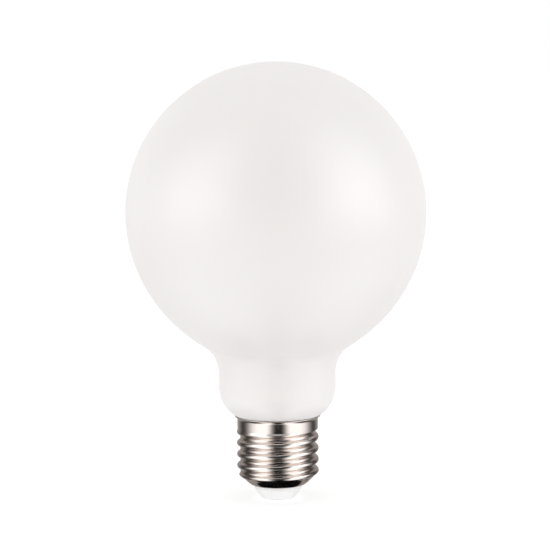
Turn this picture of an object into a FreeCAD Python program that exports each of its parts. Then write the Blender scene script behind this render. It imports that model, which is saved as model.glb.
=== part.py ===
import FreeCAD, Part
import os
from math import acos, atan2, cos, pi, radians, sin, sqrt, tan

# Globe bulb with an opal glass globe and an Edison screw cap of the 27 mm size.
# The bulb stands on its axis, which is Z, with the cap down and the contact's face at Z = 0.
# All sizes are in millimetres. The front of the bulb faces -Y.

# Glass globe: a sphere, a fuller shoulder, a hollow fillet and a straight neck
globe_diameter = 95.0
shoulder_start_angle = 20.5  # below the widest circle, degrees
shoulder_extra_radius = 2.7  # how much larger the shoulder's radius is than the sphere's
neck_fillet_radius = 10.9
neck_diameter = 37.2
neck_length = 4.41  # of the straight part, which makes the bulb 139.0 long
neck_turn_radius = 10.5  # the neck turns in to this round until it fits the cap
neck_seat_depth = 0.45  # how far below the rim's top it has turned in to that size
neck_fit_clearance = 0.1  # to the inside of the cap's skirt, all round
neck_end_gap = 0.3  # from the thread up to the glass's end
neck_end_round = 0.6

# Screw shell: one rolled sheet
sheet_thickness = 0.3
rim_height = 26.9
rim_flare_radius = 1.2
rim_overhang = 0.85  # how far the rim stands out from the skirt
skirt_diameter = 25.7
skirt_length = 2.5  # the plain cylinder between the flare and the thread
thread_crest_diameter = 26.1
thread_depth = 1.1  # from crest to valley
thread_pitch = 3.629
thread_crest_height = 19.8  # a crest's height on the +X side, which sets the thread's phase
thread_run_in = 1.4  # height over which the thread grows out of the skirt
thread_run_out_start = 4.5  # above the shell's underside, where the thread starts to die away
thread_run_out_end = 1.7  # above the shell's underside
bottom_height = 4.4  # underside of the shell
bottom_curve_radius = 9.0  # the shell draws in to this round below the thread
bottom_curve_angle = 54.0  # how far that round goes, degrees
bottom_corner_radius = 2.75  # from there to the flat underside
bottom_flat_width = 1.2  # the flat ring between the hole's edge and the corner

# Insulator: one moulded piece that grips the edge of the shell's hole
insulator_collar_overlap = 1.2  # how far the collar is wider than the hole
insulator_collar_thickness = 1.1
insulator_tip_land = 1.0  # the white ring round the contact
insulator_tip_round = 0.5
insulator_head_overlap = 0.7  # how far the head inside is wider than the hole
insulator_head_thickness = 2.0
moulding_clearance = 0.05

# Centre contact: a disc with a stem, pressed into the insulator
contact_diameter = 8.6
contact_proud = 0.3  # below the insulator's tip
contact_recess = 0.5
contact_edge_round = 0.2
contact_stem_diameter = 2.4

# Fineness of the threaded sheet's net
net_row_step = 0.36
net_columns = 32
difference_step = 1e-6  # for the sheet's slopes

# Sizes of the shell that follow
knuckle_rise = thread_depth / 2
knuckle_radius = ((thread_pitch / 4) ** 2 + knuckle_rise**2) / (2 * knuckle_rise)
thread_mean_radius = thread_crest_diameter / 2 - knuckle_rise
skirt_radius = skirt_diameter / 2
flare_centre_radius = skirt_radius + rim_flare_radius
flare_angle = acos(1 - rim_overhang / rim_flare_radius)
flare_centre_height = rim_height - (rim_flare_radius + sheet_thickness) * sin(flare_angle)
thread_top = flare_centre_height - skirt_length
curve_angle = radians(bottom_curve_angle)
curve_centre_radius = skirt_radius - bottom_curve_radius
centres_apart = bottom_curve_radius - bottom_corner_radius
corner_centre_radius = curve_centre_radius + centres_apart * cos(curve_angle)
corner_centre_height = bottom_height + bottom_corner_radius
curve_centre_height = corner_centre_height + centres_apart * sin(curve_angle)
hole_radius = corner_centre_radius - bottom_flat_width
curve_length = curve_angle * bottom_curve_radius
threaded_length = curve_length + thread_top - curve_centre_height

origin = FreeCAD.Vector(0, 0, 0)
up = FreeCAD.Vector(0, 0, 1)


def section_point(radius, height):
    """A point of a section, in the half plane of +X and Z."""
    return FreeCAD.Vector(radius, 0, height)


def line(start, end):
    """A straight edge of a section."""
    return Part.LineSegment(section_point(*start), section_point(*end)).toShape()


def arc(centre, radius, from_angle, to_angle):
    """A round edge of a section. Angles are in radians, from +X towards +Z."""
    def at(angle):
        return section_point(centre[0] + radius * cos(angle), centre[1] + radius * sin(angle))

    middle = (from_angle + to_angle) / 2
    return Part.Arc(at(from_angle), at(middle), at(to_angle)).toShape()


def end_of(edge):
    """The last point of an edge, as radius and height."""
    last = edge.valueAt(edge.LastParameter)
    return last.x, last.z


def turned(edges):
    """The solid that a closed section sweeps about the axis."""
    face = Part.Face(Part.Wire(edges))
    return face.revolve(origin, up, 360)


def glass_globe():
    """The blown glass. Its outline is worked out upwards from the end that sits in the cap."""
    globe_radius = globe_diameter / 2
    shoulder_radius = globe_radius + shoulder_extra_radius
    neck_radius = neck_diameter / 2
    seat_radius = skirt_radius - sheet_thickness - neck_fit_clearance
    seat_end = thread_top + neck_end_gap
    round_centre = (seat_radius - neck_end_round, seat_end + neck_end_round)

    # The neck turns in close past the rim's edge until it has the seat's size.
    turn_centre_radius = neck_radius - neck_turn_radius
    turn_angle = -acos((seat_radius - turn_centre_radius) / neck_turn_radius)
    neck_bottom = rim_height - neck_seat_depth - neck_turn_radius * sin(turn_angle)
    neck_top = neck_bottom + neck_length

    # The hollow fillet and the shoulder touch on the line between their centres. The shoulder's
    # centre lies on the sphere's own radius through the point where those two meet.
    start = -radians(shoulder_start_angle)
    fillet_centre = (neck_radius + neck_fillet_radius, neck_top)
    shoulder_centre_radius = -shoulder_extra_radius * cos(start)
    across = fillet_centre[0] - shoulder_centre_radius
    rise = sqrt((shoulder_radius + neck_fillet_radius) ** 2 - across**2)
    meeting = -atan2(rise, across)
    shoulder_centre = (shoulder_centre_radius, neck_top + rise)
    globe_centre = (0, shoulder_centre[1] + shoulder_extra_radius * sin(start))
    top = globe_centre[1] + globe_radius

    turn = arc((turn_centre_radius, neck_bottom), neck_turn_radius, 0, turn_angle)
    return turned([
        arc(globe_centre, globe_radius, pi / 2, start),
        arc(shoulder_centre, shoulder_radius, start, meeting),
        arc(fillet_centre, neck_fillet_radius, pi + meeting, pi),
        line((neck_radius, neck_top), (neck_radius, neck_bottom)),
        turn,
        line(end_of(turn), (seat_radius, round_centre[1])),
        arc(round_centre, neck_end_round, 0, -pi / 2),
        line((round_centre[0], seat_end), (0, seat_end)),
        line((0, seat_end), (0, top)),
    ])


def smooth_step(value):
    """Rises from 0 to 1 with level ends as the value goes from 0 to 1."""
    value = min(max(value, 0.0), 1.0)
    return value * value * (3 - 2 * value)


def knuckle(angle, height):
    """How far the thread stands out of its mean cylinder. Crest and valley are equal rounds."""
    turns = (height - thread_crest_height) / thread_pitch - angle / (2 * pi)
    offset = abs(turns - round(turns)) * thread_pitch
    if offset <= thread_pitch / 4:
        return knuckle_rise - knuckle_radius + sqrt(knuckle_radius**2 - offset**2)
    offset = thread_pitch / 2 - offset
    return knuckle_radius - knuckle_rise - sqrt(knuckle_radius**2 - offset**2)


def sheet_outside(along, angle):
    """Outer face of the threaded sheet: up the drawn-in bottom, then up the cylinder."""
    if along < curve_length:
        slope = along / bottom_curve_radius - curve_angle
        radius = curve_centre_radius + bottom_curve_radius * cos(slope)
        height = curve_centre_height + bottom_curve_radius * sin(slope)
    else:
        radius = skirt_radius
        height = curve_centre_height + along - curve_length
    # The thread is rolled into the plain cup, and fades out towards both ends of it.
    run_out = thread_run_out_start - thread_run_out_end
    low = smooth_step((height - bottom_height - thread_run_out_end) / run_out)
    high = smooth_step((thread_top - height) / thread_run_in)
    radius += low * high * (thread_mean_radius + knuckle(angle, height) - radius)
    return FreeCAD.Vector(radius * cos(angle), radius * sin(angle), height)


def sheet_point(along, angle, depth):
    """A point of the threaded sheet, the given depth in from its outer face."""
    here = sheet_outside(along, angle)
    if depth == 0:
        return here
    step = difference_step
    rise = sheet_outside(along + step, angle) - sheet_outside(along - step, angle)
    sweep = sheet_outside(along, angle + step) - sheet_outside(along, angle - step)
    return here - sweep.cross(rise).normalize() * depth


def threaded_face(depth):
    """The helical knuckle thread as one closed smooth face."""
    spans = int(threaded_length / net_row_step)
    step = threaded_length / spans
    turn = 2 * pi / net_columns
    # Rows of the net, in steps, and the share of the bend there by which a row stands outside the
    # face that it makes. Both follow from third-degree curves with fixed ends.
    places = [0, 1 / 3] + list(range(1, spans)) + [spans - 1 / 3, spans]
    shares = [0, 1 / 18] + [1 / 6] * (spans - 1) + [1 / 18, 0]
    # Round its fifth-degree curves the net stands this much outside a circle, and it starts two
    # columns early.
    swell = 60 / (33 + 26 * cos(turn) + cos(2 * turn))
    net = []
    for place, share in zip(places, shares):
        row = []
        for column in range(-2, net_columns - 2):
            angle = column * turn
            point = sheet_point(place * step, angle, depth)
            above = sheet_point((place + 1) * step, angle, depth)
            below = sheet_point((place - 1) * step, angle, depth)
            point = point * (1 + 2 * share) - (above + below) * share
            row.append(FreeCAD.Vector(point.x * swell, point.y * swell, point.z))
        net.append(row)
    surface = Part.BSplineSurface()
    surface.buildFromPolesMultsKnots(
        net,
        [4] + [1] * (spans - 1) + [4],
        [1] * (net_columns + 1),
        list(range(spans + 1)),
        list(range(net_columns + 1)),
        False,
        True,
        3,
        5,
    )
    return surface.toShape()


def sheet_ends(depth):
    """Section edges of one skin, below and above the thread: bottom, rounded corner, skirt, flare."""
    corner_radius = bottom_corner_radius - depth
    corner_centre = (corner_centre_radius, corner_centre_height)
    flat = bottom_height + depth
    skirt = skirt_radius - depth
    flare_radius = rim_flare_radius + depth
    flare_centre = (flare_centre_radius, flare_centre_height)
    return [
        line((hole_radius, flat), (corner_centre_radius, flat)),
        arc(corner_centre, corner_radius, -pi / 2, -curve_angle),
        line((skirt, thread_top), (skirt, flare_centre_height)),
        arc(flare_centre, flare_radius, pi, pi - flare_angle),
    ]


def screw_shell():
    """The rolled cap: both skins of the sheet, closed at the rim and at the hole's edge."""
    outer = sheet_ends(0)
    inner = sheet_ends(sheet_thickness)
    hole_edge = line((hole_radius, bottom_height), (hole_radius, bottom_height + sheet_thickness))
    rim_edge = line(end_of(outer[-1]), end_of(inner[-1]))
    faces = [edge.revolve(origin, up, 360) for edge in outer + inner + [hole_edge, rim_edge]]
    faces.append(threaded_face(0))
    faces.append(threaded_face(sheet_thickness))
    skins = Part.Compound(faces)
    skins.sewShape()
    return Part.Solid(skins.Shells[0])


def insulator():
    """The moulded cone, its neck in the shell's hole and its head on the inside."""
    neck_radius = hole_radius - moulding_clearance
    collar_radius = hole_radius + insulator_collar_overlap
    collar_bottom = bottom_height - insulator_collar_thickness
    head_radius = hole_radius + insulator_head_overlap
    head_height = bottom_height + sheet_thickness + moulding_clearance
    head_top = head_height + insulator_head_thickness
    recess_radius = contact_diameter / 2 + moulding_clearance
    tip_radius = recess_radius + insulator_tip_land
    recess_top = contact_proud + contact_recess
    stem_bore = contact_stem_diameter / 2 + moulding_clearance

    # The tip's round touches the cone's side and the tip's face.
    lean = atan2(collar_radius - tip_radius, collar_bottom - contact_proud)
    inset = insulator_tip_round * tan(pi / 4 - lean / 2)
    round_centre = (tip_radius - inset, contact_proud + insulator_tip_round)
    tip_round = arc(round_centre, insulator_tip_round, -pi / 2, -lean)

    return turned([
        line((recess_radius, contact_proud), (round_centre[0], contact_proud)),
        tip_round,
        line(end_of(tip_round), (collar_radius, collar_bottom)),
        line((collar_radius, collar_bottom), (collar_radius, bottom_height)),
        line((collar_radius, bottom_height), (neck_radius, bottom_height)),
        line((neck_radius, bottom_height), (neck_radius, head_height)),
        line((neck_radius, head_height), (head_radius, head_height)),
        line((head_radius, head_height), (head_radius, head_top)),
        line((head_radius, head_top), (stem_bore, head_top)),
        line((stem_bore, head_top), (stem_bore, recess_top)),
        line((stem_bore, recess_top), (recess_radius, recess_top)),
        line((recess_radius, recess_top), (recess_radius, contact_proud)),
    ])


def centre_contact():
    """The disc that meets the lamp holder's spring, with its stem up through the insulator."""
    radius = contact_diameter / 2
    stem_radius = contact_stem_diameter / 2
    disc_top = contact_proud + contact_recess
    stem_top = bottom_height + sheet_thickness + insulator_head_thickness
    edge_centre = (radius - contact_edge_round, contact_edge_round)
    return turned([
        line((0, 0), (edge_centre[0], 0)),
        arc(edge_centre, contact_edge_round, -pi / 2, 0),
        line((radius, contact_edge_round), (radius, disc_top)),
        line((radius, disc_top), (stem_radius, disc_top)),
        line((stem_radius, disc_top), (stem_radius, stem_top)),
        line((stem_radius, stem_top), (0, stem_top)),
        line((0, stem_top), (0, 0)),
    ])


pieces = {
    "glass_globe": glass_globe,
    "screw_shell": screw_shell,
    "insulator": insulator,
    "centre_contact": centre_contact,
}

os.makedirs("parts", exist_ok=True)
for name, make in pieces.items():
    piece = make()
    piece.exportStep(f"parts/{name}.step")
    box = piece.BoundBox
    print(f"{name}: {piece.Volume:.1f} mm3, valid {piece.isValid()},"
          f" radius {box.XMax:.2f}, height {box.ZMin:.2f} to {box.ZMax:.2f}")
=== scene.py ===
# %% [markdown]
# # A globe bulb with an opal glass and a screw cap
#
# The bulb has four pieces: the white glass, the rolled metal cap with its thread, the white
# insulator below it, and the contact in the insulator's middle. The construction was modelled
# elsewhere at its real size and comes in as a frame. This lesson makes the visible surface of
# each piece in the same place, gives it a finish, and lights it as a product is lit.

# %% Load the frame
from math import acos, atan2, cos, hypot, pi, radians, sin, sqrt, tan

import bmesh
import bpy
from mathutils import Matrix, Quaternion, Vector


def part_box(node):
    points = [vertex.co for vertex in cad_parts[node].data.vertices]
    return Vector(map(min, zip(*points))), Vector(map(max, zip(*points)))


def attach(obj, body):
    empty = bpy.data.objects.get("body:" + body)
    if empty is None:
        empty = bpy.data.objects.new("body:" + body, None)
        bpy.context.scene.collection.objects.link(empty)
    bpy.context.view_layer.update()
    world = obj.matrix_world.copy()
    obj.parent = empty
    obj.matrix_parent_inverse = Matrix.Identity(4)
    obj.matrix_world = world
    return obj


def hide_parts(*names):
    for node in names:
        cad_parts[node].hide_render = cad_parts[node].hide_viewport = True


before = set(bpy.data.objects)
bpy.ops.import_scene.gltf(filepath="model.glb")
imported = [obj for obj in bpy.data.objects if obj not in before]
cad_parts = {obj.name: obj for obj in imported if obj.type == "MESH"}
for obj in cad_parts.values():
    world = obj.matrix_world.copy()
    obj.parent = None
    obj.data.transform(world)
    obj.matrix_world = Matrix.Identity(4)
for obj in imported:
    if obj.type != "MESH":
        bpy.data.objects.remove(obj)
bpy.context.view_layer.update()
for node in sorted(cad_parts):
    low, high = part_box(node)
    print(f"{node}: from {low.z * 1000:.2f} to {high.z * 1000:.2f} mm high")

# %% [markdown]
# ## The camera
#
# A product picture of a small thing is taken from far away with a long lens, so that its shape
# isn't stretched. The eye stands 0.7 m off and looks down by about six degrees. Its place was
# found by fitting the globe's outline. The small shift only centres the picture, and the small
# roll lets the bulb lean as it does in the photo.

# %% Set up the camera
picture_size = 550
focal_pixels = 2208.3
eye_distance = 0.7
eye_elevation = radians(6.4)
eye_roll = radians(0.49)
aim_height = 0.07055
aim_pixel = (275.9, 278.05)

lens = bpy.data.cameras.new("camera")
lens.sensor_width = 36
lens.lens = lens.sensor_width * focal_pixels / picture_size
middle = picture_size / 2 - 0.5  # pixels are counted from 0, at their centres
lens.shift_x = (middle - aim_pixel[0]) / picture_size
lens.shift_y = (aim_pixel[1] - middle) / picture_size
camera = bpy.data.objects.new("camera", lens)
bpy.context.scene.collection.objects.link(camera)
bpy.context.scene.camera = camera

towards_eye = Vector((0, -cos(eye_elevation), sin(eye_elevation)))
camera.location = Vector((0, 0, aim_height)) + towards_eye * eye_distance
camera.rotation_mode = "QUATERNION"
camera.rotation_quaternion = (
    towards_eye.to_track_quat("Z", "Y") @ Quaternion((0, 0, 1), -eye_roll)
)
print(f"lens of {lens.lens:.1f} mm, shifted by {lens.shift_x:.4f} and {lens.shift_y:.4f}")

# %% [markdown]
# ## Drawing and turning
#
# Every piece of this bulb is round about one axis, as if it came off a lathe. So each one
# starts as half of its section, drawn with a pen, and one spin about the axis makes the
# surface. The pen has two strokes. A straight line is a vertex that is extruded and moved. An
# arc is a vertex that is spun about the arc's centre, which needs no list of points. All of it
# is drawn in millimetres and scaled to metres at the end.

# %% The pen
metres = 0.001


def start_at(mesh, radius, height):
    """The first point of an outline."""
    return mesh.verts.new((radius, 0, height))


def line_to(mesh, point, radius, height, steps=1):
    """Draws a straight line on from a point, and returns its last point."""
    step = (Vector((radius, 0, height)) - point.co) / steps
    for _ in range(steps):
        made = bmesh.ops.extrude_vert_indiv(mesh, verts=[point])
        point = made["verts"][0]
        bmesh.ops.translate(mesh, verts=[point], vec=step)
    return point


def arc_on(mesh, point, centre, turn, steps):
    """Draws an arc about a centre by an angle from +X towards +Z, and returns its last point."""
    made = bmesh.ops.spin(
        mesh,
        geom=[point],
        cent=(centre[0], 0, centre[1]),
        axis=(0, -1, 0),
        angle=turn,
        steps=steps,
    )
    return next(item for item in made["geom_last"] if isinstance(item, bmesh.types.BMVert))


# %% The lathe
def turn_outline(mesh, segments):
    """Spins the outline about the axis, and closes the seam and the poles."""
    bmesh.ops.spin(
        mesh,
        geom=mesh.verts[:] + mesh.edges[:],
        cent=(0, 0, 0),
        axis=(0, 0, 1),
        angle=2 * pi,
        steps=segments,
        use_merge=True,
    )
    bmesh.ops.remove_doubles(mesh, verts=mesh.verts[:], dist=1e-5)
    bmesh.ops.recalc_face_normals(mesh, faces=mesh.faces[:])


def put_in_scene(mesh, name):
    """Scales a drawn mesh to metres and makes it an object."""
    bmesh.ops.scale(mesh, vec=(metres,) * 3, verts=mesh.verts[:])
    data = bpy.data.meshes.new(name)
    mesh.to_mesh(data)
    mesh.free()
    made = bpy.data.objects.new(name, data)
    bpy.context.scene.collection.objects.link(made)
    return made


def keep_piece(mesh, name, node, sharp_angle=35):
    """Turns a finished mesh into an object that stands for a node of the frame."""
    for face in mesh.faces:
        face.smooth = True
    for edge in mesh.edges:
        edge.smooth = edge.is_manifold and edge.calc_face_angle(0) < radians(sharp_angle)
    piece = put_in_scene(mesh, name)
    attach(piece, "root")
    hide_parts(node)
    corners = [vertex.co / metres for vertex in piece.data.vertices]
    low, high = (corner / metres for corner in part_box(node))
    print(f"{name}: {len(piece.data.polygons)} faces")
    print(f"  radius {max(c.x for c in corners):.2f} mm, in the frame {high.x:.2f}")
    print(f"  height {min(c.z for c in corners):.2f} to {max(c.z for c in corners):.2f} mm,"
          f" in the frame {low.z:.2f} to {high.z:.2f}")
    return piece


# %% [markdown]
# ## The glass globe
#
# The globe is blown into a mould, so it has no edges: a sphere runs into a fuller shoulder,
# the shoulder into a hollow fillet, and the fillet into a short neck that turns in to fit the
# cap. Four arcs and a line draw that. Where two arcs meet, their centres and the meeting point
# lie on one line, which is what makes the joint smooth, so the angle there is worked out from
# the centres and isn't chosen.

# %% Sizes of the globe
globe_low, globe_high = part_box("glass_globe")
globe_radius = globe_high.x / metres
globe_top = globe_high.z / metres
glass_end = globe_low.z / metres
cap_low, cap_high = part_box("screw_shell")
rim_height = cap_high.z / metres
shoulder_start = -radians(20.5)
shoulder_extra = 2.7
fillet_radius = 10.9
neck_radius = 18.6
neck_turn_radius = 10.5
seat_depth = 0.45
seat_radius = 12.45
end_round = 0.6

globe_centre = globe_top - globe_radius
shoulder_radius = globe_radius + shoulder_extra
shoulder_centre = (
    -shoulder_extra * cos(shoulder_start),
    globe_centre - shoulder_extra * sin(shoulder_start),
)
across = neck_radius + fillet_radius - shoulder_centre[0]
drop = sqrt((shoulder_radius + fillet_radius) ** 2 - across**2)
meeting = -atan2(drop, across)
neck_top = shoulder_centre[1] - drop
turn_centre_radius = neck_radius - neck_turn_radius
neck_turn = -acos((seat_radius - turn_centre_radius) / neck_turn_radius)
neck_bottom = rim_height - seat_depth - neck_turn_radius * sin(neck_turn)
print(f"globe centre {globe_centre:.2f} mm up, straight neck from {neck_bottom:.2f}"
      f" to {neck_top:.2f} mm")

# %% Blow the globe
glass = bmesh.new()
point = start_at(glass, 0, globe_top)
point = arc_on(glass, point, (0, globe_centre), shoulder_start - pi / 2, 96)
point = arc_on(glass, point, shoulder_centre, meeting - shoulder_start, 40)
point = arc_on(glass, point, (neck_radius + fillet_radius, neck_top), -meeting, 24)
point = line_to(glass, point, neck_radius, neck_bottom, 4)
point = arc_on(glass, point, (turn_centre_radius, neck_bottom), neck_turn, 20)
point = line_to(glass, point, seat_radius, glass_end + end_round, 4)
point = arc_on(glass, point, (seat_radius - end_round, glass_end + end_round), -pi / 2, 5)
point = line_to(glass, point, 0, glass_end, 3)
turn_outline(glass, 192)
opal_globe = keep_piece(glass, "opal_globe", "glass_globe")

# %% [markdown]
# ## The screw cap
#
# The cap starts as a drawn cup of thin sheet, and its thread is rolled in between two dies.
# This model goes the same way. The pen draws the cup's outer skin, one spin turns it, and then
# a press moves each vertex in or out, by how far the thread stands there from the plain cup.
# The thread's section is a row of equal rounds, crest and valley alike. It climbs by one pitch
# each turn, grows out of the plain skirt at the top and dies away in the drawn-in bottom. A spin
# that rises as it turns would also make a thread, but it couldn't fade out.

# %% Sizes of the cap
sheet = 0.3
skirt_radius = 12.85
flare_radius = 1.2
rim_overhang = 0.85
crest_radius = 13.05
thread_depth = 1.1
pitch = 3.629
crest_height = 19.8
skirt_length = 2.5
run_in = 1.4
run_out_start = 4.5
run_out_end = 1.7
bottom = cap_low.z / metres
curve_radius = 9.0
curve_angle = radians(54)
corner_radius = 2.75
bottom_flat = 1.2

rise = thread_depth / 2
knuckle_radius = ((pitch / 4) ** 2 + rise**2) / (2 * rise)
mean_radius = crest_radius - rise
flare_angle = acos(1 - rim_overhang / flare_radius)
flare_height = rim_height - (flare_radius + sheet) * sin(flare_angle)
thread_top = flare_height - skirt_length
centres_apart = curve_radius - corner_radius
curve_middle = skirt_radius - curve_radius
corner_middle = curve_middle + centres_apart * cos(curve_angle)
corner_height = bottom + corner_radius
curve_height = corner_height + centres_apart * sin(curve_angle)
hole_radius = corner_middle - bottom_flat
print(f"thread up to {thread_top:.2f} mm, hole of {2 * hole_radius:.1f} mm in the bottom")


# %% The press
def smooth_step(value):
    """Rises from 0 to 1 with level ends."""
    value = min(max(value, 0), 1)
    return value * value * (3 - 2 * value)


def knuckle(angle, height):
    """How far the thread stands out of its mean cylinder."""
    turns = (height - crest_height) / pitch - angle / (2 * pi)
    offset = abs(turns - round(turns)) * pitch
    if offset <= pitch / 4:
        return rise - knuckle_radius + sqrt(knuckle_radius**2 - offset**2)
    return knuckle_radius - rise - sqrt(knuckle_radius**2 - (pitch / 2 - offset) ** 2)


def press(place):
    """Where a point of the plain cup goes when the thread is rolled in."""
    angle = atan2(place.y, place.x)
    plain = hypot(place.x, place.y)
    low = smooth_step((place.z - bottom - run_out_end) / (run_out_start - run_out_end))
    high = smooth_step((thread_top - place.z) / run_in)
    radius = plain + low * high * (mean_radius + knuckle(angle, place.z) - plain)
    return Vector((radius * cos(angle), radius * sin(angle), place.z))


# %% Roll the cap
cup = bmesh.new()
point = start_at(cup, hole_radius, bottom)
point = line_to(cup, point, corner_middle, bottom, 2)
point = arc_on(cup, point, (corner_middle, corner_height), pi / 2 - curve_angle, 8)
point = arc_on(cup, point, (curve_middle, curve_height), curve_angle, 56)
point = line_to(cup, point, skirt_radius, thread_top, 76)
point = line_to(cup, point, skirt_radius, flare_height, 3)
point = arc_on(cup, point, (skirt_radius + flare_radius, flare_height), -flare_angle, 12)
turn_outline(cup, 192)
for vertex in cup.verts:
    vertex.co = press(vertex.co)
cup.normal_update()
bmesh.ops.solidify(cup, geom=cup.faces[:], thickness=-sheet)
sharp_edges = [
    edge for edge in cup.edges
    if edge.is_manifold and edge.calc_face_angle(0) > radians(50)
]
bmesh.ops.bevel(
    cup, geom=sharp_edges, offset=0.07, segments=2, profile=0.5, affect="EDGES", material=-1
)
screw_cap = keep_piece(cup, "screw_cap", "screw_shell", sharp_angle=60)

# %% [markdown]
# ## The insulator
#
# Below the cap sits a moulded cone of white plastic. It grips the edge of the cap's hole from
# both sides: a collar below the metal and a head above it. The contact's disc lies in a shallow
# recess of its tip. All of that is one closed outline for the pen.

# %% Turn the insulator
foot_low, foot_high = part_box("insulator")
clearance = 0.05
collar_radius = foot_high.x / metres
collar_low = bottom - 1.1
tip_height = foot_low.z / metres
head_top = foot_high.z / metres
recess_radius = 4.35
recess_top = tip_height + 0.5
tip_radius = recess_radius + 1.0
tip_round = 0.5
stem_bore = 1.25
head_radius = hole_radius + 0.7
head_low = head_top - 2.0

lean = atan2(collar_radius - tip_radius, collar_low - tip_height)
inset = tip_round * tan(pi / 4 - lean / 2)
foot = bmesh.new()
point = start_at(foot, stem_bore, head_top)
point = line_to(foot, point, stem_bore, recess_top)
point = line_to(foot, point, recess_radius, recess_top)
point = line_to(foot, point, recess_radius, tip_height)
point = line_to(foot, point, tip_radius - inset, tip_height)
point = arc_on(foot, point, (tip_radius - inset, tip_height + tip_round), pi / 2 - lean, 8)
point = line_to(foot, point, collar_radius, collar_low, 6)
point = line_to(foot, point, collar_radius, bottom)
point = line_to(foot, point, hole_radius - clearance, bottom)
point = line_to(foot, point, hole_radius - clearance, head_low)
point = line_to(foot, point, head_radius, head_low)
point = line_to(foot, point, head_radius, head_top)
point = line_to(foot, point, stem_bore, head_top)
turn_outline(foot, 128)
cone = keep_piece(foot, "insulator_cone", "insulator")

# %% [markdown]
# ## The centre contact
#
# The contact is a disc with a rounded edge, and its stem is pressed up through the insulator.
# It is drawn from the middle of its underside outwards and back to the axis.

# %% Turn the contact
disc_low, disc_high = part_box("centre_contact")
disc_radius = disc_high.x / metres
disc_edge = 0.2
stem_radius = 1.2
stem_top = disc_high.z / metres

button = bmesh.new()
point = start_at(button, 0, 0)
point = line_to(button, point, disc_radius - disc_edge, 0, 6)
point = arc_on(button, point, (disc_radius - disc_edge, disc_edge), pi / 2, 6)
point = line_to(button, point, disc_radius, recess_top)
point = line_to(button, point, stem_radius, recess_top)
point = line_to(button, point, stem_radius, stem_top)
point = line_to(button, point, 0, stem_top)
turn_outline(button, 96)
contact = keep_piece(button, "contact_disc", "centre_contact")


# %% [markdown]
# ## Writing finishes as sums
#
# A finish is a small calculation that runs at each point of the surface. Nodes are its steps,
# but sums are easier to read as sums. So one class wraps a socket, and its operators add the
# Math nodes. Every other node comes from one method, which takes the node's type, its settings
# and what goes into its sockets.

# %% Sockets that add up
class Number:
    """The output of a node. Arithmetic on it adds Math nodes."""

    def __init__(self, paint, socket):
        self.paint = paint
        self.socket = socket

    def maths(self, operation, *terms):
        return self.paint.node("ShaderNodeMath", {"operation": operation}, dict(enumerate(terms)))

    def __add__(self, other):
        return self.maths("ADD", self, other)

    def __sub__(self, other):
        return self.maths("SUBTRACT", self, other)

    def __rsub__(self, other):
        return self.maths("SUBTRACT", other, self)

    def __mul__(self, other):
        return self.maths("MULTIPLY", self, other)

    __radd__ = __add__
    __rmul__ = __mul__

    def root(self):
        return self.maths("SQRT", self)

    def between(self, low, high):
        """0 below the low value, 1 above the high one, and smooth in between."""
        return self.paint.node(
            "ShaderNodeMapRange",
            {"interpolation_type": "SMOOTHSTEP"},
            {"Value": self, "From Min": low, "From Max": high},
        )

    def between_degrees(self, low, high):
        return self.between(radians(low), radians(high))

    def away_from(self, degrees):
        """How far this angle is from another one, from 0 to half a turn."""
        return self.maths("PINGPONG", self - radians(degrees), pi)


# %% The nodes of one finish
class Paint:
    """The nodes of a material or of the room, with one method that makes every node."""

    def __init__(self, owner):
        owner.use_nodes = True
        self.owner = owner
        self.tree = owner.node_tree
        self.tree.nodes.clear()

    def node(self, kind, settings=None, inputs=None, output=0):
        made = self.tree.nodes.new(kind)
        for name, value in (settings or {}).items():
            setattr(made, name, value)
        for name, value in (inputs or {}).items():
            if isinstance(value, Number):
                self.tree.links.new(value.socket, made.inputs[name])
            else:
                made.inputs[name].default_value = value
        return Number(self, made.outputs[output])

    def outputs(self, kind, names, inputs=None):
        """Several outputs of one node."""
        found = self.node(kind, None, inputs).socket.node.outputs
        return [Number(self, found[name]) for name in names]

    def find_place(self, coordinates):
        """Reads the place on a piece, or the direction in the room, and splits it."""
        self.place = self.node("ShaderNodeTexCoord", output=coordinates)
        split = self.outputs("ShaderNodeSeparateXYZ", "XYZ", {"Vector": self.place})
        self.x, self.y, self.z = split

    def off_axis(self):
        """How far the place is from the axis."""
        return (self.x * self.x + self.y * self.y).root()

    def around(self):
        """The angle of the place or the direction, from the front towards +X."""
        return self.x.maths("ARCTAN2", self.x, 0 - self.y)

    def finish(self, shader, kind="ShaderNodeOutputMaterial"):
        """Ends the tree in a shader."""
        end = self.tree.nodes.new(kind)
        self.tree.links.new(shader.socket, end.inputs["Surface"])
        print(f"{self.owner.name}: {len(self.tree.nodes)} nodes")


# %% Helpers for the finishes
def paint_for(piece, name):
    """A new material on a piece."""
    material = bpy.data.materials.new(name)
    piece.data.materials.clear()
    piece.data.materials.append(material)
    paint = Paint(material)
    paint.find_place("Object")
    return paint


def noise(paint, size, detail=2, stretch=(1, 1, 1)):
    """Soft noise with lumps of about that size in metres, stretched along the axes."""
    scaled = paint.node(
        "ShaderNodeMapping",
        {"vector_type": "POINT"},
        {"Vector": paint.place, "Scale": [1 / (size * part) for part in stretch]},
    )
    return paint.node(
        "ShaderNodeTexNoise", None, {"Vector": scaled, "Scale": 1.0, "Detail": detail}
    )


def mixed(paint, factor, first, second):
    """One colour that turns into another."""
    return paint.node(
        "ShaderNodeMix", {"data_type": "RGBA"}, {0: factor, 6: first, 7: second}, 2
    )


def relief(paint, height, strength, depth):
    """Small ups and downs for the Normal socket."""
    return paint.node(
        "ShaderNodeBump", None, {"Height": height, "Strength": strength, "Distance": depth}
    )


def surface(paint, sockets):
    """Ends a material in a Principled shader."""
    paint.finish(paint.node("ShaderNodeBsdfPrincipled", None, sockets))


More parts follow.
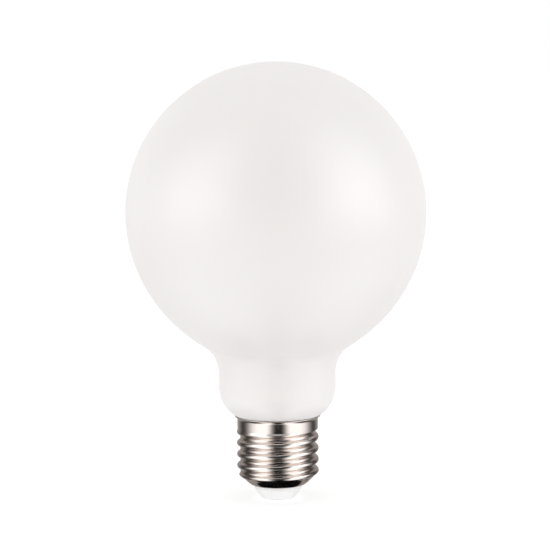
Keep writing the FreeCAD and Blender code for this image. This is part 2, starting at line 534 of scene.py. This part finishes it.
# %% [markdown]
# ## Opal glass
#
# Opal glass is white because the light that enters it is scattered inside and comes back out
# all over. So its body is a warm white that lets some light run below the surface, which
# softens every shade. The skin is satin, and blurs the bright parts of a room into wide soft
# spots. All the gloss sits in one strong coat, because a coat's weight can be steered: it is
# full where the glass faces the eye and thin edge-on, where gloss would burn the outline out.
# The white drifts a little over large patches, and a fine grain shows from close by.

# %% Paint the globe
opal = paint_for(opal_globe, "opal")
drift = noise(opal, 0.035, detail=3)
grain = noise(opal, 0.0006, detail=2)
edge_on = opal.node("ShaderNodeLayerWeight", None, {"Blend": 0.5}, "Facing")
shaded_white = (0.855, 0.827, 0.817, 1)
clear_white = (0.875, 0.85, 0.84, 1)
surface(opal, {
    "Base Color": mixed(opal, drift.between(0.3, 0.7), shaded_white, clear_white),
    "Roughness": 0.42 + 0.06 * drift,
    "IOR": 1.52,
    "Subsurface Weight": 0.4,
    "Subsurface Radius": (1.0, 0.95, 0.9),
    "Subsurface Scale": 0.006,
    "Specular IOR Level": 0.0,
    "Coat Weight": 1 - 0.8 * edge_on.between(0.25, 0.75),
    "Coat IOR": 1.8,
    "Coat Roughness": 0.38,
    "Normal": relief(opal, grain, 0.05, 0.0002),
})

# %% [markdown]
# ## Nickel plate
#
# Plated sheet is bright, but rolling leaves fine marks that run round the cap, and handling
# rubs the crests. So the noise is squeezed along the axis into thin rings, which turn the
# roughness up and down. The valleys are painted warmer and darker: painted shade and a painted
# reflection of the warm glass above them. Fingers leave a few darker smudges. The rim was cut
# after it was drawn, so its lip is duller, and its colour is painted shade where the glass sits.

# %% Paint the cap
nickel = paint_for(screw_cap, "nickel")
rings = noise(nickel, 0.004, detail=4, stretch=(1, 1, 0.03))
smudges = noise(nickel, 0.006, detail=3)
# from valley to crest: smoother rubbed crests, and the mask of the painted valley shade
crest_wear_and_valley_shade = nickel.off_axis().between((mean_radius - rise) * metres, crest_radius * metres)
# the top of the rim: duller cut metal, and the mask of its painted shade
rim_dullness_and_shade = nickel.z.between((rim_height - 0.5) * metres, (rim_height - 0.15) * metres)
# valley colour: painted shade and a painted reflection of the glass; crests keep the plate's
# colour
valley_painted_shade = (0.68, 0.6, 0.555, 1)
bright_crest = (0.76, 0.7, 0.66, 1)
fingered = (0.6, 0.52, 0.46, 1)
# the lip's colour is painted shade where the glass sits on it
rim_painted_shade = (0.44, 0.39, 0.35, 1)
# the valleys get the painted shade and painted reflection
plate = mixed(nickel, crest_wear_and_valley_shade, valley_painted_shade, bright_crest)
plate = mixed(nickel, smudges.between(0.55, 0.8) * 0.35, plate, fingered)
# paints the lip dark: painted shade
plate = mixed(nickel, rim_dullness_and_shade * 0.9, plate, rim_painted_shade)
surface(nickel, {
    "Base Color": plate,
    "Metallic": 1.0,
    "Roughness": 0.07 + 0.08 * rings + 0.06 * smudges - 0.03 * crest_wear_and_valley_shade + 0.2 * rim_dullness_and_shade,
    "Normal": relief(nickel, rings, 0.12, 0.00005),
})

# %% [markdown]
# ## White plastic and contact metal
#
# The insulator is moulded from a white plastic that stands heat, with a half gloss and faint
# flow marks. The contact is turned, so its marks are rings about the axis, which a sine of the
# distance from the axis gives.

# %% Paint the insulator
plastic = paint_for(cone, "white_plastic")
flow = noise(plastic, 0.003, detail=3)
flow_grey = (0.96, 0.96, 0.96, 1)
flow_white = (0.98, 0.98, 0.98, 1)
surface(plastic, {
    "Base Color": mixed(plastic, flow.between(0.35, 0.7), flow_grey, flow_white),
    "Roughness": 0.25 + 0.15 * flow,
    "Normal": relief(plastic, flow, 0.05, 0.0002),
})

# %% Paint the contact
metal = paint_for(contact, "turned_metal")
tarnish = noise(metal, 0.002)
turning = metal.off_axis() * 30000  # in radians, so one ring comes every 0.21 mm
tarnished = (0.66, 0.62, 0.56, 1)
clean = (0.76, 0.74, 0.7, 1)
surface(metal, {
    "Base Color": mixed(metal, tarnish, tarnished, clean),
    "Metallic": 1.0,
    "Roughness": 0.2 + 0.15 * tarnish,
    "Normal": relief(metal, turning.maths("SINE", turning), 0.1, 0.00002),
})


# %% [markdown]
# ## The studio
#
# A white thing is pictured in a white tent of cloth. Light comes from everywhere and hardly
# shades it, so the room is one even level for the light that scatters. Gloss is another matter,
# because it shows a picture of the room: dark where the camera looks in through the tent's gap
# and up under its roof, and bright at two windows in the cloth. Light Path tells the kinds of
# rays apart, so only gloss sees the gap and the windows, and the camera sees plain white.

# %% Who is looking
def lookers(paint):
    """Whether the ray comes from the camera, from gloss or through glass, each 0 or 1."""
    names = ("Is Camera Ray", "Is Glossy Ray", "Is Transmission Ray")
    return paint.outputs("ShaderNodeLightPath", names)


# %% The room
tent = Paint(bpy.data.worlds.new("tent"))
bpy.context.scene.world = tent.owner
tent.find_place("Generated")
around = tent.around()
gap = 1 - around.away_from(2).between_degrees(20, 46)
left_window = 1 - around.away_from(-62).between_degrees(10, 40)
right_window = 1 - around.away_from(66).between_degrees(10, 40)
windows = (1.8 * left_window + 1.95 * right_window) * (1 - tent.z.between(0.35, 1.0))
roof = tent.z.between(0.05, 0.4)
camera_ray, gloss_ray, glass_ray = lookers(tent)
scattered = 0.95
level = (
    scattered
    + (camera_ray + gloss_ray + glass_ray) * (1 - scattered)
    + gloss_ray * (windows - 0.4 * gap - 0.55 * roof)
)
tent.finish(
    tent.node("ShaderNodeBackground", None, {"Color": (1, 1, 1, 1), "Strength": level}),
    "ShaderNodeOutputWorld",
)


# %% [markdown]
# ## The floor
#
# The floor is one sheet of white paper with three faces. The camera sees paper that is lit and
# also shines a little, so that it comes out white and keeps the bulb's faint shadow. Scattered
# light gets an even glow from it, and a little more right under the insulator, where the bulb
# keeps other light away. Gloss sees what a mirror would show: light patches beside the gap and
# behind the bulb, and far off the light below the two windows.

# %% Pieces of the studio
def stage_piece(mesh, name):
    """Turns a mesh into a part of the studio, which isn't part of the bulb."""
    made = put_in_scene(mesh, name)
    return made


def shining(paint, strength, colour=(1, 1, 1, 1)):
    return paint.node("ShaderNodeEmission", None, {"Color": colour, "Strength": strength})


def blend(paint, factor, first, second):
    """One shader that turns into another."""
    return paint.node("ShaderNodeMixShader", None, {0: factor, 1: first, 2: second})


# %% Lay the floor
floor_reach = 6  # metres to each side
sheet_of_paper = bmesh.new()
bmesh.ops.create_grid(
    sheet_of_paper, x_segments=1, y_segments=1, size=floor_reach / metres
)
floor = stage_piece(sheet_of_paper, "floor")
print(f"floor: {floor.dimensions.x:.0f} m wide")

# %% What gloss sees of the floor
paper = paint_for(floor, "white_paper")
distance = paper.off_axis()
off_middle = paper.around().away_from(2)
beside_gap = off_middle.between_degrees(10, 28)
to_the_side = 1 - off_middle.between_degrees(78, 110)
at_the_back = off_middle.between_degrees(135, 155)
patches = beside_gap * (to_the_side + at_the_back) * (1 - distance.between(0.14, 0.3))
floor_gap = 1 - off_middle.between_degrees(15, 40)
below_windows = (1 - off_middle.between_degrees(75, 105)) * (1 - floor_gap)
far_light = distance.between(0.15, 0.45) * below_windows
for_gloss = shining(paper, 0.95 + 0.5 * patches + 0.5 * far_light - 0.05 * floor_gap)


# %% What the camera and scattered light see of it
def glowing_paper(white, glow):
    """Paper that also shines a little of its own."""
    body = paper.node("ShaderNodeBsdfDiffuse", None, {"Color": (white, white, white, 1)})
    return paper.node("ShaderNodeAddShader", None, {0: body, 1: shining(paper, glow)})


under_foot = 1 - distance.between(0.02, 0.06)
for_scattered_light = glowing_paper(0.2, 0.7 + 0.13 * under_foot)
for_camera = glowing_paper(0.5, 0.6)
camera_ray, gloss_ray, glass_ray = lookers(paper)
direct = blend(paper, camera_ray + glass_ray, for_scattered_light, for_camera)
paper.finish(blend(paper, gloss_ray, direct, for_gloss))


# %% [markdown]
# ## The lamps
#
# Two soft lamps, one to the left and one to the right of the camera, give the light that does
# shade the globe. Gloss doesn't see them, because the windows of the tent already stand for
# them there.

# %% Lamps
def soft_lamp(name, azimuth, radiance, elevation=12, distance=1.3, width=0.35, height=0.5):
    """A soft lamp that faces the bulb. Azimuth is from the front towards +X, in degrees."""
    lamp = bpy.data.lights.new(name, "AREA")
    lamp.shape = "RECTANGLE"
    lamp.size = width
    lamp.size_y = height
    lamp.energy = 4 * radiance * width * height
    stand = bpy.data.objects.new(name, lamp)
    bpy.context.scene.collection.objects.link(stand)
    turn, tilt = radians(azimuth), radians(elevation)
    outward = Vector((sin(turn) * cos(tilt), -cos(turn) * cos(tilt), sin(tilt)))
    stand.location = Vector((0, 0, aim_height)) + outward * distance
    stand.rotation_mode = "QUATERNION"
    stand.rotation_quaternion = outward.to_track_quat("Z", "Y")
    stand.visible_glossy = False
    print(f"{name}: {lamp.energy:.2f} W")


soft_lamp("left_lamp", -62, 1.8)
soft_lamp("right_lamp", 62, 2.2)

# %% [markdown]
# ## A dish of cards round the cap
#
# Polished metal is only as dark as what it mirrors, so small black cards stand close round the
# cap. Here they are one dish with a near and a far wall, which only gloss can see. It is clear
# between the front and the sides, and in an opening behind, and there the metal sees the bright
# paper. A card in front makes the dark stripe in the cap's middle. The cards at the sides, which
# turn grey behind, make its dark edges. The disc under the bottom is black in front and grey
# behind. The pen and the lathe make the dish, and sums on the angle round the bulb and the
# distance from the axis say what is covered.

# %% Turn the dish
dish_hole = 5
dish_height = 0.3
near_wall, near_top = 19, 26.3
far_wall, far_top = 36, 22.5

cards = bmesh.new()
point = start_at(cards, dish_hole, dish_height)
wall_foot = line_to(cards, point, near_wall, dish_height, 6)
line_to(cards, wall_foot, near_wall, near_top, 4)
point = line_to(cards, wall_foot, far_wall, dish_height, 4)
line_to(cards, point, far_wall, far_top, 4)
turn_outline(cards, 96)
dish = stage_piece(cards, "dish")
for kind in ("camera", "diffuse", "shadow", "transmission"):
    setattr(dish, f"visible_{kind}", False)
print(f"dish: {len(dish.data.polygons)} faces, seen by gloss alone")

# %% Where the cards are
card = paint_for(dish, "cards")
around = card.around()
distance = card.off_axis()
on_disc = 1 - distance.between(0.0118, 0.0126)
on_far_wall = distance.between((far_wall - 0.5) * metres, (far_wall - 0.1) * metres)
off_floor = card.z.between((dish_height + 0.1) * metres, (dish_height + 0.3) * metres)
on_near_wall = off_floor * (1 - on_far_wall)
far_part = distance.between(0.024, 0.032) * (1 - on_far_wall)
front = 1 - around.away_from(1.9).between_degrees(5, 30)
front_card = front * (1 - on_near_wall) * (1 - 0.6 * far_part)
side = around.away_from(3.5).between_degrees(38, 85)
turned_away = around.away_from(2)
past_opening = turned_away.between_degrees(168, 176)
back_opening = turned_away.between_degrees(138, 154) * (1 - past_opening)
side_card = side * (1 - on_far_wall) * (1 - back_opening)
covered = on_disc + (1 - on_disc) * (front_card + side_card)

# %% How dark the cards are
behind = turned_away.between_degrees(84, 115)
higher_up = card.z.between(0.002, 0.02)
card_tone = 0.006 + 0.012 * higher_up + 0.05 * side + 0.3 * behind
disc_tone = 0.35 * around.away_from(4).between_degrees(68, 76)
tone = (1 - on_disc) * card_tone + on_disc * disc_tone
board = shining(card, tone, (1, 0.94, 0.9, 1))
clear = card.node("ShaderNodeBsdfTransparent")
card.finish(blend(card, covered, clear, board))

# %% [markdown]
# ## The view transform
#
# The finished surface has to be as large as the construction. The picture uses the Standard
# view transform.

# %% Set the view transform
bpy.context.scene.view_settings.view_transform = "Standard"
